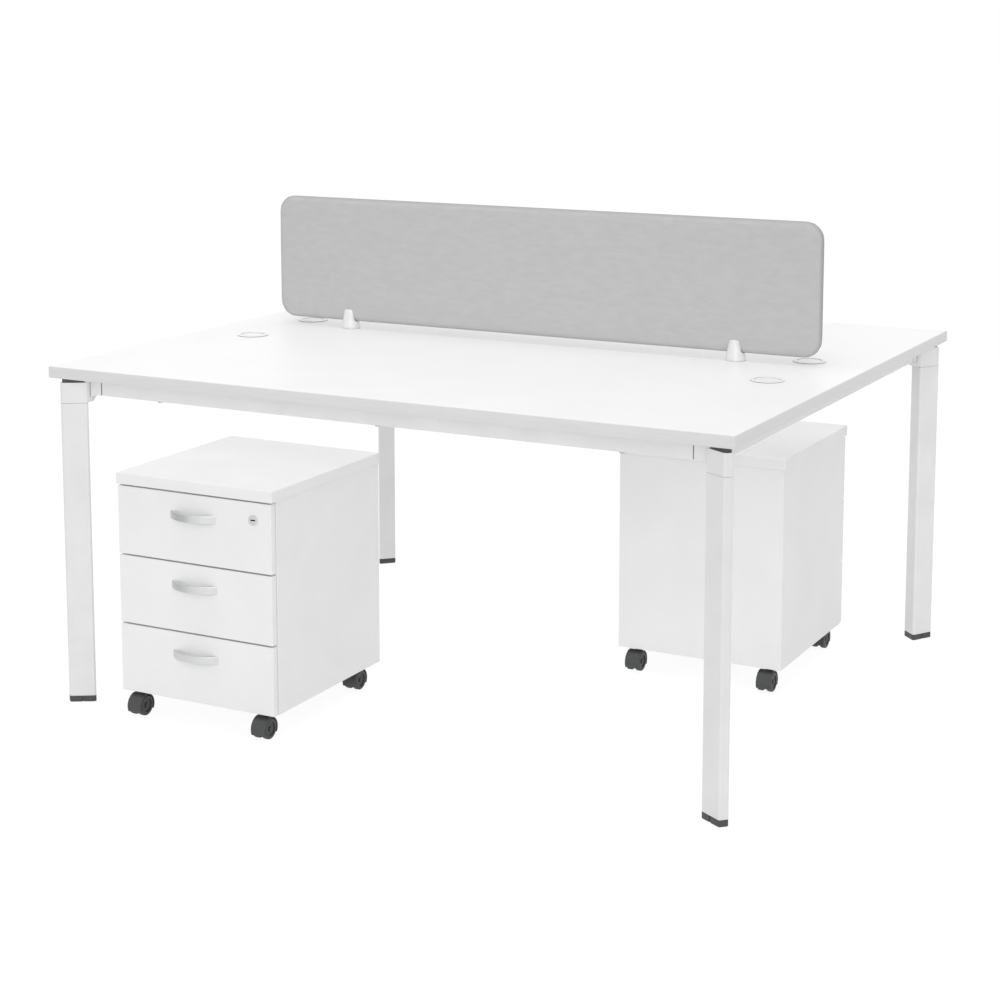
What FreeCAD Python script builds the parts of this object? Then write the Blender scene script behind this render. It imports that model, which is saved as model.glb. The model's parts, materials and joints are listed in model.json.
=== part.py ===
# A bench desk for two people who sit face to face, with a fabric screen across its top and a
# three-drawer pedestal on casters under each working side. Sizes are in millimetres.
# The origin is on the floor under the middle of the desktop: X along the long side, Y to the back, Z up.
import FreeCAD, Part
import math
import os

from FreeCAD import Placement, Rotation, Vector

# Desktop: a faced board with edging on its four sides
desk_length = 1600.0
desk_depth = 1400.0
desk_height = 760.0
desktop_thickness = 25.0
edge_band_thickness = 2.0

# Legs: steel tubes whose section widens towards the desk's middle, set on the corners' diagonals
leg_inset = 38.0
leg_outer_width = 20.0
leg_inner_width = 48.0
leg_section_length = 57.0
leg_corner_radius = 5.0
leg_wall = 2.0
leg_head_height = 45.0
leg_head_bevel = 1.5
leg_plug_length = 40.0
foot_height = 13.5
foot_notch_width = 3.5
foot_notch_depth = 2.0
desktop_pad_height = 12.0
desktop_pad_inset = 4.0

# Rails: steel tubes between the arms of the leg heads
rail_height = 40.0
rail_thickness = 20.0
rail_wall = 2.0
rail_setback = 62.0
arm_root = 3.0
arm_reach = 64.0
arm_slit = 2.5
arm_spigot_length = 35.0
gusset_start = 9.0
gusset_run = 29.0
gusset_lift = 1.0

# Bolts and screws of the frame
bolt_diameter = 6.0
bolt_head_diameter = 12.0
bolt_head_height = 3.0
frame_bolt_grip = 12.0
desktop_screw_bite = 15.0
desktop_screw_from_rail_end = 150.0
screen_screw_bite = 12.0

# Cable grommets: a flanged sleeve in the board and a cap that turns in it
grommet_from_end = 150.0
grommet_from_middle = 132.0
grommet_hole_diameter = 60.0
grommet_flange_diameter = 74.0
grommet_flange_height = 2.5
grommet_depth = 22.0
grommet_wall = 2.0
grommet_ledge = 2.0
grommet_cap_height = 5.0
grommet_cap_recess = 1.2
grommet_slot_depth = 10.0
grommet_clearance = 0.3

# Screen: a padded panel held by two clamps that stand on the desktop
screen_length = 1400.0
screen_height = 300.0
screen_thickness = 22.0
screen_corner_radius = 42.0
screen_edge_round = 7.0
screen_lift = 18.0
screen_behind_middle = 70.0
screen_foot_spacing = 1000.0
screen_foot_height = 48.0
screen_foot_base_diameter = 46.0
screen_foot_top_diameter = 32.0
screen_foot_top_round = 7.0
screen_foot_base_round = 2.0

# Pedestals: how far each stands in from the desk's nearer end and from the edge before its drawers
pedestal_a_from_end = 176.0
pedestal_a_from_edge = 4.0
pedestal_b_from_end = 188.0
pedestal_b_from_edge = 180.0

# Pedestal: boards
pedestal_width = 400.0
pedestal_depth = 430.0
pedestal_height = 542.0
pedestal_lift = 56.0
pedestal_top_thickness = 25.0
pedestal_top_overhang = 1.5
pedestal_top_bevel = 1.0
board_thickness = 18.0
drawer_names = ["bottom", "middle", "top"]

# Pedestal: drawers on grooved sides
front_thickness = 16.0
front_side_reveal = 2.0
front_gap = 3.5
front_to_carcase = 1.5
front_bevel = 0.8
drawer_box_lift = 26.0
drawer_box_height = 86.0
drawer_side_thickness = 15.0
drawer_side_gap = 2.0
drawer_back_thickness = 12.0
drawer_bottom_thickness = 6.0
drawer_rear_space = 13.0
runner_height = 16.0
runner_width = 9.0
runner_lift = 35.0
runner_front_setback = 8.0
runner_rear_space = 17.0
runner_clearance = 0.3

# Pedestal: bow handles
handle_length = 118.0
handle_height = 17.0
handle_bow = 22.0
handle_thickness = 4.5
handle_foot_length = 11.0
handle_round = 1.2
handle_drop = 48.0

# Pedestal: lock in the top drawer's front
lock_from_side = 46.0
lock_drop = 37.0
lock_barrel_diameter = 15.0
lock_rim_diameter = 22.0
lock_rim_height = 2.0
lock_tail_diameter = 12.0
lock_tail_length = 4.5
lock_clearance = 0.1
lock_seat_gap = 0.3
key_slot_length = 11.0
key_slot_width = 2.8
key_slot_depth = 4.0
cam_length = 24.0
cam_width = 10.0
cam_thickness = 2.0
keeper_width = 24.0
keeper_thickness = 2.0
keeper_gap = 0.5
keeper_clear_of_cam = 3.5

# Casters: hooded fork with a stem, and twin wheels on one axle
caster_from_side = 38.0
caster_from_end = 32.0
caster_trail = 16.0
wheel_diameter = 45.0
wheel_width = 12.5
wheel_round = 3.0
wheel_dish_depth = 2.0
wheel_dish_rim = 5.0
web_thickness = 8.0
hood_thickness = 2.5
hood_skirt = 12.0
wheel_clearance = 0.8
axle_diameter = 6.0
stem_diameter = 10.0
stem_length = 16.0
collar_diameter = 18.0
collar_height = 6.0
caster_clearance = 0.3
shaft_clearance = 0.05


# Shared shapes
plane_tolerance = 1e-6


def slab(corner, opposite):
    """A box between two opposite corners, given in any order."""
    low = [min(a, b) for a, b in zip(corner, opposite)]
    size = [abs(a - b) for a, b in zip(corner, opposite)]
    return Part.makeBox(*size, Vector(*low))


def rod(diameter, start, end):
    """A round bar from one point to another."""
    base = Vector(*start)
    run = Vector(*end) - base
    return Part.makeCylinder(diameter / 2, run.Length, base, run)


def inset_corners(corners, distance):
    """The corners of a convex outline, listed anticlockwise, with every side moved in by a distance."""
    moved = []
    for i, corner in enumerate(corners):
        before = (Vector(*corner) - Vector(*corners[i - 1])).normalize()
        after = (Vector(*corners[(i + 1) % len(corners)]) - Vector(*corner)).normalize()
        half_turn = before.getAngle(after) / 2
        inward = (after - before).normalize()
        point = Vector(*corner) + inward * (distance / math.cos(half_turn))
        moved.append((point.x, point.y))
    return moved


def rounded_outline(corners, radius):
    """A closed wire through the corners, with each corner rounded by an arc of the radius."""
    edges = []
    first = None
    last = None
    for i, corner in enumerate(corners):
        point = Vector(*corner)
        back = (Vector(*corners[i - 1]) - point).normalize()
        ahead = (Vector(*corners[(i + 1) % len(corners)]) - point).normalize()
        half_angle = back.getAngle(ahead) / 2
        start = point + back * (radius / math.tan(half_angle))
        end = point + ahead * (radius / math.tan(half_angle))
        bisector = (back + ahead).normalize()
        middle = point + bisector * (radius / math.sin(half_angle) - radius)
        if last is None:
            first = start
        else:
            edges.append(Part.LineSegment(last, start).toShape())
        edges.append(Part.Arc(start, middle, end).toShape())
        last = end
    edges.append(Part.LineSegment(last, first).toShape())
    return Part.Wire(edges)


def prism(outline, bottom, top):
    """An upright prism over an outline drawn in the XY plane."""
    face = Part.Face(outline)
    face.translate(Vector(0, 0, bottom))
    return face.extrude(Vector(0, 0, top - bottom))


def standing_prism(outline, front, back):
    """A prism along Y over an outline drawn in the XY plane, whose Y becomes the prism's Z."""
    face = Part.Face(outline)
    face.rotate(Vector(), Vector(1, 0, 0), 90)
    face.translate(Vector(0, front, 0))
    return face.extrude(Vector(0, back - front, 0))


def cut_all(solid, tools):
    """The solid with every tool cut out of it."""
    for tool in tools:
        solid = solid.cut(tool)
    return solid.removeSplitter()


def edges_at_height(solid, height):
    """The edges that lie flat at a height."""
    found = []
    for edge in solid.Edges:
        box = edge.BoundBox
        if abs(box.ZMin - height) < plane_tolerance and abs(box.ZMax - height) < plane_tolerance:
            found.append(edge)
    return found


def edges_at_depth(solid, depth):
    """The edges that lie in the plane of one Y value."""
    found = []
    for edge in solid.Edges:
        box = edge.BoundBox
        if abs(box.YMin - depth) < plane_tolerance and abs(box.YMax - depth) < plane_tolerance:
            found.append(edge)
    return found


def headed_screw(base, direction, grip):
    """A screw whose head sits on a face at base, outside it, and whose shank runs in along direction."""
    inward = Vector(*direction)
    seat = Vector(*base)
    head = Part.makeCylinder(bolt_head_diameter / 2, bolt_head_height, seat, inward * -1)
    shank = Part.makeCylinder(bolt_diameter / 2, grip, seat, inward)
    return head.fuse(shank).removeSplitter()


def shank_hole(base, direction, grip):
    """The hole that a headed screw fills."""
    return Part.makeCylinder(bolt_diameter / 2, grip, Vector(*base), Vector(*direction))


def write_node(name, solids):
    """Writes one node, a single piece or a group of like pieces."""
    shape = solids[0] if len(solids) == 1 else Part.makeCompound(solids)
    shape.exportStep("parts/" + name + ".step")


os.makedirs("parts", exist_ok=True)

# Levels and places that follow from the sizes above
half_length = desk_length / 2
half_depth = desk_depth / 2
board_bottom = desk_height - desktop_thickness
rail_bottom = board_bottom - rail_height
head_top = board_bottom - desktop_pad_height
head_bottom = head_top - leg_head_height
leg_x = half_length - leg_inset
leg_y = half_depth - leg_inset
long_rail_y = half_depth - rail_setback
end_rail_x = half_length - rail_setback
rail_middle = rail_bottom + rail_height / 2
arm_end = leg_inset + arm_reach
rail_start = arm_end + arm_slit
corner_names = {
    "front_left": (-1, -1),
    "front_right": (1, -1),
    "back_left": (-1, 1),
    "back_right": (1, 1),
}

# Leg section, with its length along the local X axis and its narrow end outwards
leg_corners = [
    (leg_section_length / 2, -leg_outer_width / 2),
    (leg_section_length / 2, leg_outer_width / 2),
    (-leg_section_length / 2, leg_inner_width / 2),
    (-leg_section_length / 2, -leg_inner_width / 2),
]
leg_outline = rounded_outline(leg_corners, leg_corner_radius)
leg_bore_corners = inset_corners(leg_corners, leg_wall)
leg_bore_outline = rounded_outline(leg_bore_corners, leg_corner_radius - leg_wall)
pad_outline = rounded_outline(inset_corners(leg_corners, desktop_pad_inset), leg_corner_radius)


def at_corner(shape, side_x, side_y):
    """A leg's shape moved to its corner, with its narrow end on the corner's diagonal."""
    turn = math.degrees(math.atan2(side_y, side_x))
    place = Placement(Vector(side_x * leg_x, side_y * leg_y, 0), Rotation(Vector(0, 0, 1), turn))
    moved = shape.copy()
    moved.Placement = place
    return moved


# Legs and their feet
leg_tube = prism(leg_outline, foot_height, head_bottom).cut(
    prism(leg_bore_outline, foot_height, head_bottom)
)
foot = prism(leg_outline, 0, foot_height)
taper = math.atan2((leg_inner_width - leg_outer_width) / 2, leg_section_length)
side_middle = (leg_inner_width + leg_outer_width) / 4
for side in (-1, 1):
    notch = slab(
        (-foot_notch_width / 2, -foot_notch_depth, 0), (foot_notch_width / 2, foot_notch_depth, foot_height)
    )
    notch.rotate(Vector(), Vector(0, 0, 1), -side * math.degrees(taper))
    notch.translate(Vector(0, side * side_middle, 0))
    foot = foot.cut(notch)
foot = foot.fuse(prism(leg_bore_outline, foot_height, foot_height + leg_plug_length)).removeSplitter()
feet = []
for corner_name, (side_x, side_y) in corner_names.items():
    write_node("leg_" + corner_name, [at_corner(leg_tube, side_x, side_y)])
    feet.append(at_corner(foot, side_x, side_y))
write_node("leg_feet", feet)


def gusset_profile():
    """The hollow-curved web under an arm: X runs out along the arm, Y is the height."""
    drop = rail_bottom - head_bottom - gusset_lift
    tip = arm_reach - gusset_start
    root = tip - gusset_run
    radius = (gusset_run**2 + drop**2) / (2 * drop)
    half_angle = math.asin(gusset_run / radius) / 2
    tip_point = Vector(tip, rail_bottom, 0)
    root_point = Vector(root, rail_bottom - drop, 0)
    middle = Vector(tip - radius * math.sin(half_angle), rail_bottom - radius * (1 - math.cos(half_angle)), 0)
    inner_bottom = Vector(arm_root, rail_bottom - drop, 0)
    inner_top = Vector(arm_root, rail_bottom, 0)
    curve = Part.Arc(tip_point, middle, root_point).toShape()
    lines = Part.makePolygon([root_point, inner_bottom, inner_top, tip_point])
    return Part.Wire([curve] + lines.Edges)


def arm():
    """An arm that runs out along +X from a leg's middle, with its web and the spigot for the rail."""
    half = rail_thickness / 2
    bar = slab((arm_root, -half, rail_bottom), (arm_reach, half, board_bottom))
    web = standing_prism(gusset_profile(), -half, half)
    spigot = slab(
        (arm_reach, -half + rail_wall, rail_bottom + rail_wall),
        (arm_reach + arm_spigot_length, half - rail_wall, board_bottom - rail_wall),
    )
    return bar.fuse([web, spigot]).removeSplitter()


# Frame bolts: two at each corner, from the rails' inner faces into the arms' spigots
bolt_from_end = rail_start + arm_spigot_length / 2
frame_bolts = []
frame_bolt_holes = []
for side_x, side_y in corner_names.values():
    long_seat = (
        side_x * (half_length - bolt_from_end),
        side_y * (long_rail_y - rail_thickness / 2),
        rail_middle,
    )
    end_seat = (
        side_x * (end_rail_x - rail_thickness / 2),
        side_y * (half_depth - bolt_from_end),
        rail_middle,
    )
    for seat, direction in ((long_seat, (0, side_y, 0)), (end_seat, (side_x, 0, 0))):
        frame_bolts.append(headed_screw(seat, direction, frame_bolt_grip))
        frame_bolt_holes.append(shank_hole(seat, direction, frame_bolt_grip))

# Leg heads: a core over the leg, a plug inside it, and an arm towards each of the two rails
head_core = prism(leg_outline, head_bottom, head_top)
head_core = head_core.makeChamfer(leg_head_bevel, edges_at_height(head_core, head_top))
head_plug = prism(leg_bore_outline, head_bottom - leg_plug_length, head_bottom)
rail_offset = rail_setback - leg_inset
heads = []
pads = []
for side_x, side_y in corner_names.values():
    head = at_corner(head_core.fuse(head_plug), side_x, side_y)
    arm_x = arm()
    arm_x.Placement = Placement(
        Vector(side_x * leg_x, side_y * (leg_y - rail_offset), 0),
        Rotation(Vector(0, 0, 1), 180 if side_x > 0 else 0),
    )
    arm_y = arm()
    arm_y.Placement = Placement(
        Vector(side_x * (leg_x - rail_offset), side_y * leg_y, 0),
        Rotation(Vector(0, 0, 1), -90 * side_y),
    )
    head = cut_all(head.fuse([arm_x, arm_y]), frame_bolt_holes)
    heads.append(head)
    pads.append(at_corner(prism(pad_outline, head_top, board_bottom), side_x, side_y).cut(head))
write_node("leg_heads", heads)
write_node("desktop_pads", pads)

# Screws up through the rails into the board
desktop_screws = []
desktop_screw_holes = []
desktop_screw_grip = rail_height + desktop_screw_bite
long_screw_x = half_length - rail_start - desktop_screw_from_rail_end
end_screw_y = half_depth - rail_start - desktop_screw_from_rail_end
for step in (-1, 0, 1):
    for side in (-1, 1):
        along_long = (step * long_screw_x, side * long_rail_y, rail_bottom)
        along_end = (side * end_rail_x, step * end_screw_y, rail_bottom)
        for seat in (along_long, along_end):
            desktop_screws.append(headed_screw(seat, (0, 0, 1), desktop_screw_grip))
            desktop_screw_holes.append(shank_hole(seat, (0, 0, 1), desktop_screw_grip))

# Screws down-side up through the board into the screen's feet
screen_screws = []
screen_screw_holes = []
screen_screw_grip = desktop_thickness + screen_screw_bite
for side in (-1, 1):
    seat = (side * screen_foot_spacing / 2, screen_behind_middle, board_bottom)
    screen_screws.append(headed_screw(seat, (0, 0, 1), screen_screw_grip))
    screen_screw_holes.append(shank_hole(seat, (0, 0, 1), screen_screw_grip))
write_node("frame_fasteners", frame_bolts + desktop_screws + screen_screws)


def rail_tube(half_run):
    """A rail along X, from minus to plus half its run, on the X axis."""
    half = rail_thickness / 2
    outside = slab((-half_run, -half, rail_bottom), (half_run, half, board_bottom))
    inside = slab(
        (-half_run, -half + rail_wall, rail_bottom + rail_wall),
        (half_run, half - rail_wall, board_bottom - rail_wall),
    )
    return outside.cut(inside)


# Rails
rails = []
for side in (-1, 1):
    long_rail = rail_tube(half_length - rail_start)
    long_rail.translate(Vector(0, side * long_rail_y, 0))
    end_rail = rail_tube(half_depth - rail_start)
    end_rail.rotate(Vector(), Vector(0, 0, 1), 90)
    end_rail.translate(Vector(side * end_rail_x, 0, 0))
    for rail in (long_rail, end_rail):
        rails.append(cut_all(rail, frame_bolt_holes + desktop_screw_holes))
write_node("frame_rails", rails)

# Desktop and its edging
grommet_x = half_length - grommet_from_end
grommet_y = grommet_from_middle
inner_x = half_length - edge_band_thickness
inner_y = half_depth - edge_band_thickness
desktop = slab((-inner_x, -inner_y, board_bottom), (inner_x, inner_y, desk_height))
grommet_holes = [
    rod(
        grommet_hole_diameter,
        (side_x * grommet_x, side_y * grommet_y, board_bottom),
        (side_x * grommet_x, side_y * grommet_y, desk_height),
    )
    for side_x, side_y in corner_names.values()
]
write_node("desktop", [cut_all(desktop, grommet_holes + desktop_screw_holes + screen_screw_holes)])
edging = []
for side in (-1, 1):
    edging.append(
        slab((-half_length, side * inner_y, board_bottom), (half_length, side * half_depth, desk_height))
    )
    edging.append(slab((side * inner_x, -inner_y, board_bottom), (side * half_length, inner_y, desk_height)))
write_node("desktop_edge_band", edging)

# Grommets: the cap lies on the sleeve's ledge, a little below the flange, its cable slot towards the screen
flange_top = desk_height + grommet_flange_height
cap_top = flange_top - grommet_cap_recess
cap_bottom = cap_top - grommet_cap_height
ledge_top = cap_bottom - grommet_clearance
sleeve_bottom = desk_height - grommet_depth
cap_seat_diameter = grommet_hole_diameter - 2 * grommet_wall
cap_diameter = cap_seat_diameter - 2 * grommet_clearance
ledge_bore_diameter = cap_seat_diameter - 2 * grommet_ledge
sleeve = rod(grommet_hole_diameter, (0, 0, sleeve_bottom), (0, 0, desk_height))
sleeve = sleeve.fuse(rod(grommet_flange_diameter, (0, 0, desk_height), (0, 0, flange_top)))
sleeve = sleeve.cut(rod(ledge_bore_diameter, (0, 0, sleeve_bottom), (0, 0, flange_top)))
sleeve = sleeve.cut(rod(cap_seat_diameter, (0, 0, ledge_top), (0, 0, flange_top))).removeSplitter()
cap = rod(cap_diameter, (0, 0, cap_bottom), (0, 0, cap_top))
slot_line = cap_diameter / 2 - grommet_slot_depth
cap = cap.cut(
    slab((-cap_diameter, -slot_line, cap_bottom), (cap_diameter, -cap_diameter, cap_top))
)
sleeves = []
for corner_name, (side_x, side_y) in corner_names.items():
    place = Placement(
        Vector(side_x * grommet_x, side_y * grommet_y, 0),
        Rotation(Vector(0, 0, 1), 0 if side_y > 0 else 180),
    )
    placed_sleeve = sleeve.copy()
    placed_sleeve.Placement = place
    sleeves.append(placed_sleeve)
    placed_cap = cap.copy()
    placed_cap.Placement = place
    write_node("grommet_cap_" + corner_name, [placed_cap])
write_node("grommet_sleeves", sleeves)

# Screen panel, a padded board with rounded corners and softened edges
screen_bottom = desk_height + screen_lift
half_screen = screen_length / 2
panel_outline = rounded_outline(
    [
        (-half_screen, screen_bottom),
        (half_screen, screen_bottom),
        (half_screen, screen_bottom + screen_height),
        (-half_screen, screen_bottom + screen_height),
    ],
    screen_corner_radius,
)
panel_front = screen_behind_middle - screen_thickness / 2
panel_back = screen_behind_middle + screen_thickness / 2
panel = standing_prism(panel_outline, panel_front, panel_back)
panel_edges = edges_at_depth(panel, panel_front) + edges_at_depth(panel, panel_back)
panel = panel.makeFillet(screen_edge_round, panel_edges)
write_node("screen_panel", [panel])

# Screen feet: round bells that take the panel's lower edge between two cheeks
bell = Part.makeCone(
    screen_foot_base_diameter / 2, screen_foot_top_diameter / 2, screen_foot_height, Vector(0, 0, desk_height)
)
bell = bell.makeFillet(screen_foot_top_round, edges_at_height(bell, desk_height + screen_foot_height))
bell = bell.makeFillet(screen_foot_base_round, edges_at_height(bell, desk_height))
screen_feet = []
for side in (-1, 1):
    placed_foot = bell.copy()
    placed_foot.translate(Vector(side * screen_foot_spacing / 2, screen_behind_middle, 0))
    screen_feet.append(cut_all(placed_foot.cut(panel), screen_screw_holes))
write_node("screen_feet", screen_feet)

# Pedestal: shapes in the pedestal's own frame, over the middle of its plan, with the drawers towards -Y
half_width = pedestal_width / 2
front_face = -pedestal_depth / 2
front_back = front_face + front_thickness
carcase_front = front_back + front_to_carcase
carcase_rear = pedestal_depth / 2
carcase_top = pedestal_height - pedestal_top_thickness
side_inner = half_width - board_thickness
back_front = carcase_rear - board_thickness
base_top = pedestal_lift + board_thickness
drawer_count = len(drawer_names)
front_height = (carcase_top - pedestal_lift) / drawer_count - front_gap
top_front_top = carcase_top - front_gap
lock_x = half_width - lock_from_side
lock_z = top_front_top - lock_drop
caster_places = {
    "front_left": (-(half_width - caster_from_side), front_face + caster_from_end),
    "front_right": (half_width - caster_from_side, front_face + caster_from_end),
    "back_left": (-(half_width - caster_from_side), carcase_rear - caster_from_end),
    "back_right": (half_width - caster_from_side, carcase_rear - caster_from_end),
}
stem_top = pedestal_lift - caster_clearance + stem_length
stem_bore_diameter = stem_diameter + 2 * shaft_clearance


def pedestal_top():
    """The top board, which stands a little over the carcase and the fronts on all sides."""
    out_x = half_width + pedestal_top_overhang
    out_y = pedestal_depth / 2 + pedestal_top_overhang
    board = slab((-out_x, -out_y, carcase_top), (out_x, out_y, pedestal_height))
    return board.makeChamfer(pedestal_top_bevel, edges_at_height(board, pedestal_height))


def pedestal_carcase():
    """Two sides, the back across their rear edges and the base, bored for the caster stems."""
    boards = []
    for side in (-1, 1):
        boards.append(
            slab(
                (side * half_width, carcase_front, pedestal_lift),
                (side * side_inner, back_front, carcase_top),
            )
        )
    boards.append(slab((-half_width, back_front, pedestal_lift), (half_width, carcase_rear, carcase_top)))
    base = slab((-side_inner, carcase_front, pedestal_lift), (side_inner, back_front, base_top))
    bores = [
        rod(stem_bore_diameter, (x, y, pedestal_lift), (x, y, stem_top + caster_clearance))
        for x, y in caster_places.values()
    ]
    boards.append(cut_all(base, bores))
    return boards


def drawer_level(index):
    """The height of a drawer front's lower edge, counted from the bottom drawer."""
    return pedestal_lift + index * (front_height + front_gap)


def drawer_front(index):
    """One front board, bored for the lock in the top drawer."""
    out_x = half_width - front_side_reveal
    bottom = drawer_level(index)
    board = slab((-out_x, front_face, bottom), (out_x, front_back, bottom + front_height))
    board = board.makeChamfer(front_bevel, edges_at_depth(board, front_face))
    if index == drawer_count - 1:
        bore_diameter = lock_barrel_diameter + 2 * lock_clearance
        board = board.cut(rod(bore_diameter, (lock_x, front_face, lock_z), (lock_x, front_back, lock_z)))
    return board


def drawer_box(index):
    """Two grooved sides, a back and a bottom, behind a front."""
    bottom = drawer_level(index) + drawer_box_lift
    top = bottom + drawer_box_height
    outer = side_inner - drawer_side_gap
    inner = outer - drawer_side_thickness
    rear = back_front - drawer_rear_space
    groove_bottom = bottom + runner_lift - runner_clearance
    groove_top = bottom + runner_lift + runner_height + runner_clearance
    groove_floor = side_inner - runner_width - runner_clearance
    boards = []
    for side in (-1, 1):
        board = slab((side * outer, front_back, bottom), (side * inner, rear, top))
        groove = slab((side * outer, front_back, groove_bottom), (side * groove_floor, rear, groove_top))
        boards.append(board.cut(groove))
    back_of_floor = rear - drawer_back_thickness
    boards.append(slab((-inner, back_of_floor, bottom), (inner, rear, top)))
    boards.append(
        slab((-inner, front_back, bottom), (inner, back_of_floor, bottom + drawer_bottom_thickness))
    )
    return boards


def runners():
    """Six bars for the drawers' grooves, and the keeper that the lock's cam rises behind."""
    bars = []
    for index in range(drawer_count):
        bar_bottom = drawer_level(index) + drawer_box_lift + runner_lift
        for side in (-1, 1):
            bars.append(
                slab(
                    (side * side_inner, carcase_front + runner_front_setback, bar_bottom),
                    (
                        side * (side_inner - runner_width),
                        back_front - runner_rear_space,
                        bar_bottom + runner_height,
                    ),
                )
            )
    cam_front = front_back + lock_tail_length
    keeper_rear = cam_front - keeper_gap
    keeper_bottom = lock_z + cam_width / 2 + keeper_clear_of_cam
    bars.append(
        slab(
            (lock_x - keeper_width / 2, keeper_rear - keeper_thickness, keeper_bottom),
            (lock_x + keeper_width / 2, keeper_rear, carcase_top),
        )
    )
    return bars


def handle(index):
    """A flat strip bowed away from the front, with a foot at each end against it."""
    half = handle_length / 2
    inner_half = half - handle_foot_length
    ends = [Vector(-half, 0, 0), Vector(-inner_half, 0, 0), Vector(inner_half, 0, 0), Vector(half, 0, 0)]
    outer_arc = Part.Arc(ends[0], Vector(0, -handle_bow, 0), ends[3]).toShape()
    inner_arc = Part.Arc(ends[2], Vector(0, handle_thickness - handle_bow, 0), ends[1]).toShape()
    right_foot = Part.LineSegment(ends[3], ends[2]).toShape()
    left_foot = Part.LineSegment(ends[1], ends[0]).toShape()
    outline = Part.Wire([outer_arc, right_foot, inner_arc, left_foot])
    strip = prism(outline, 0, handle_height)
    long_edges = [e for e in strip.Edges if e.Length > inner_half]
    strip = strip.makeFillet(handle_round, long_edges)
    top_edge = drawer_level(index) + front_height
    strip.translate(Vector(0, front_face, top_edge - handle_drop - handle_height / 2))
    return strip


def lock():
    """The barrel, with its rim and key slot outside the front, and the cam on the barrel's tail."""
    rim_back = front_face - lock_seat_gap
    rim_face = rim_back - lock_rim_height
    tail_end = front_back + lock_tail_length
    barrel = rod(lock_rim_diameter, (0, rim_face, 0), (0, rim_back, 0))
    barrel = barrel.fuse(rod(lock_barrel_diameter, (0, rim_back, 0), (0, front_back, 0)))
    barrel = barrel.fuse(rod(lock_tail_diameter, (0, front_back, 0), (0, tail_end, 0))).removeSplitter()
    barrel = barrel.cut(
        slab(
            (-key_slot_length / 2, rim_face, -key_slot_width / 2),
            (key_slot_length / 2, rim_face + key_slot_depth, key_slot_width / 2),
        )
    )
    cam_tail = cam_width / 2
    cam = slab((cam_tail, tail_end, -cam_width / 2), (-cam_length, tail_end + cam_thickness, cam_width / 2))
    for piece in (barrel, cam):
        piece.translate(Vector(lock_x, 0, lock_z))
    return [barrel, cam]


def caster_fork(trail_side):
    """The hood over the wheels, the web between them, the collar and the stem, about the stem's axis."""
    axle_y = trail_side * caster_trail
    axle_z = wheel_diameter / 2
    pocket_radius = wheel_diameter / 2 + wheel_clearance
    hood_radius = pocket_radius + hood_thickness
    half_out = web_thickness / 2 + wheel_clearance + wheel_width
    collar_top = pedestal_lift - caster_clearance
    hood = rod(2 * hood_radius, (-half_out, axle_y, axle_z), (half_out, axle_y, axle_z))
    below = slab(
        (-half_out, axle_y - hood_radius, axle_z - hood_radius),
        (half_out, axle_y + hood_radius, axle_z - hood_skirt),
    )
    hood = hood.cut(below)
    collar = rod(collar_diameter, (0, 0, axle_z), (0, 0, collar_top))
    pockets = []
    for side in (-1, 1):
        pockets.append(
            rod(
                2 * pocket_radius,
                (side * web_thickness / 2, axle_y, axle_z),
                (side * (half_out + collar_diameter), axle_y, axle_z),
            )
        )
    axle_bore = rod(
        axle_diameter + 2 * shaft_clearance, (-half_out, axle_y, axle_z), (half_out, axle_y, axle_z)
    )
    # The collar is trimmed to the hood's back so that nothing of it hangs below the hood.
    collar_floor = axle_z + math.sqrt(hood_radius**2 - axle_y**2) - collar_height
    collar = collar.cut(
        slab((-collar_diameter, -collar_diameter, axle_z), (collar_diameter, collar_diameter, collar_floor))
    )
    body = hood.fuse(collar)
    body = cut_all(body, pockets + [axle_bore])
    stem = rod(stem_diameter, (0, 0, collar_top), (0, 0, stem_top))
    return body.fuse(stem).removeSplitter()


def caster_wheels(trail_side):
    """Two dished wheels pressed on one axle, about the stem's axis."""
    axle_y = trail_side * caster_trail
    axle_z = wheel_diameter / 2
    inner = web_thickness / 2 + wheel_clearance
    outer = inner + wheel_width
    solids = [rod(axle_diameter, (-outer, axle_y, axle_z), (outer, axle_y, axle_z))]
    for side in (-1, 1):
        wheel = rod(wheel_diameter, (side * inner, axle_y, axle_z), (side * outer, axle_y, axle_z))
        rims = [e for e in wheel.Edges if e.Length > wheel_diameter * 2 and e.Closed]
        wheel = wheel.makeFillet(wheel_round, rims)
        dish_diameter = wheel_diameter - 2 * wheel_dish_rim - 2 * wheel_round
        dish = rod(
            dish_diameter, (side * (outer - wheel_dish_depth), axle_y, axle_z), (side * outer, axle_y, axle_z)
        )
        boss = rod(
            2 * axle_diameter,
            (side * (outer - wheel_dish_depth), axle_y, axle_z),
            (side * outer, axle_y, axle_z),
        )
        wheel = wheel.cut(dish.cut(boss)).cut(solids[0])
        solids.append(wheel)
    return solids


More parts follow.
